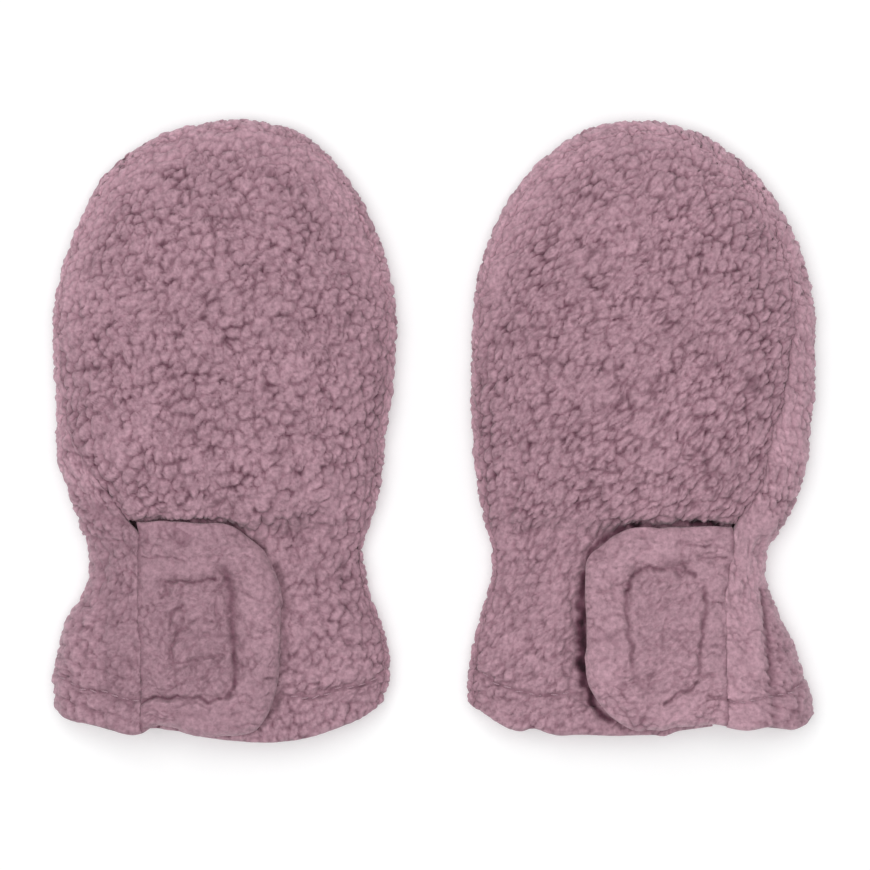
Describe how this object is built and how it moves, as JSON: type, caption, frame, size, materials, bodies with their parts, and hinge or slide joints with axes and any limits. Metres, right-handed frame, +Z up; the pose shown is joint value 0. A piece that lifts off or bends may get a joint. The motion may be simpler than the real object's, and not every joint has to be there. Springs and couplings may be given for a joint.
{
  "type": "pair of thumbless baby mittens with strap closures",
  "caption": "Thumbless mittens in nubby wool fleece that cover a baby's hands, each closed at the wrist by a wide rounded strap that fastens on its front.",
  "frame": {"origin": "middle of the pair's outline, on the surface that both mittens lie on", "axes": "+X across the pair to the viewer's right, +Y from the hems towards the fingertips, +Z up out of the surface, with the fronts and straps on top"},
  "size_m": [0.1668, 0.1348, 0.0194],
  "materials": {
    "fleece": "nubby boiled wool fleece, matt, dusty mauve",
    "felted": "smoother felted wool fleece, matt, dusty mauve"
  },
  "bodies": {
    "root": {"left_front": "fleece", "left_back": "fleece", "left_strap": "felted", "right_front": "fleece", "right_back": "fleece", "right_strap": "felted"}
  },
  "joints": []
}
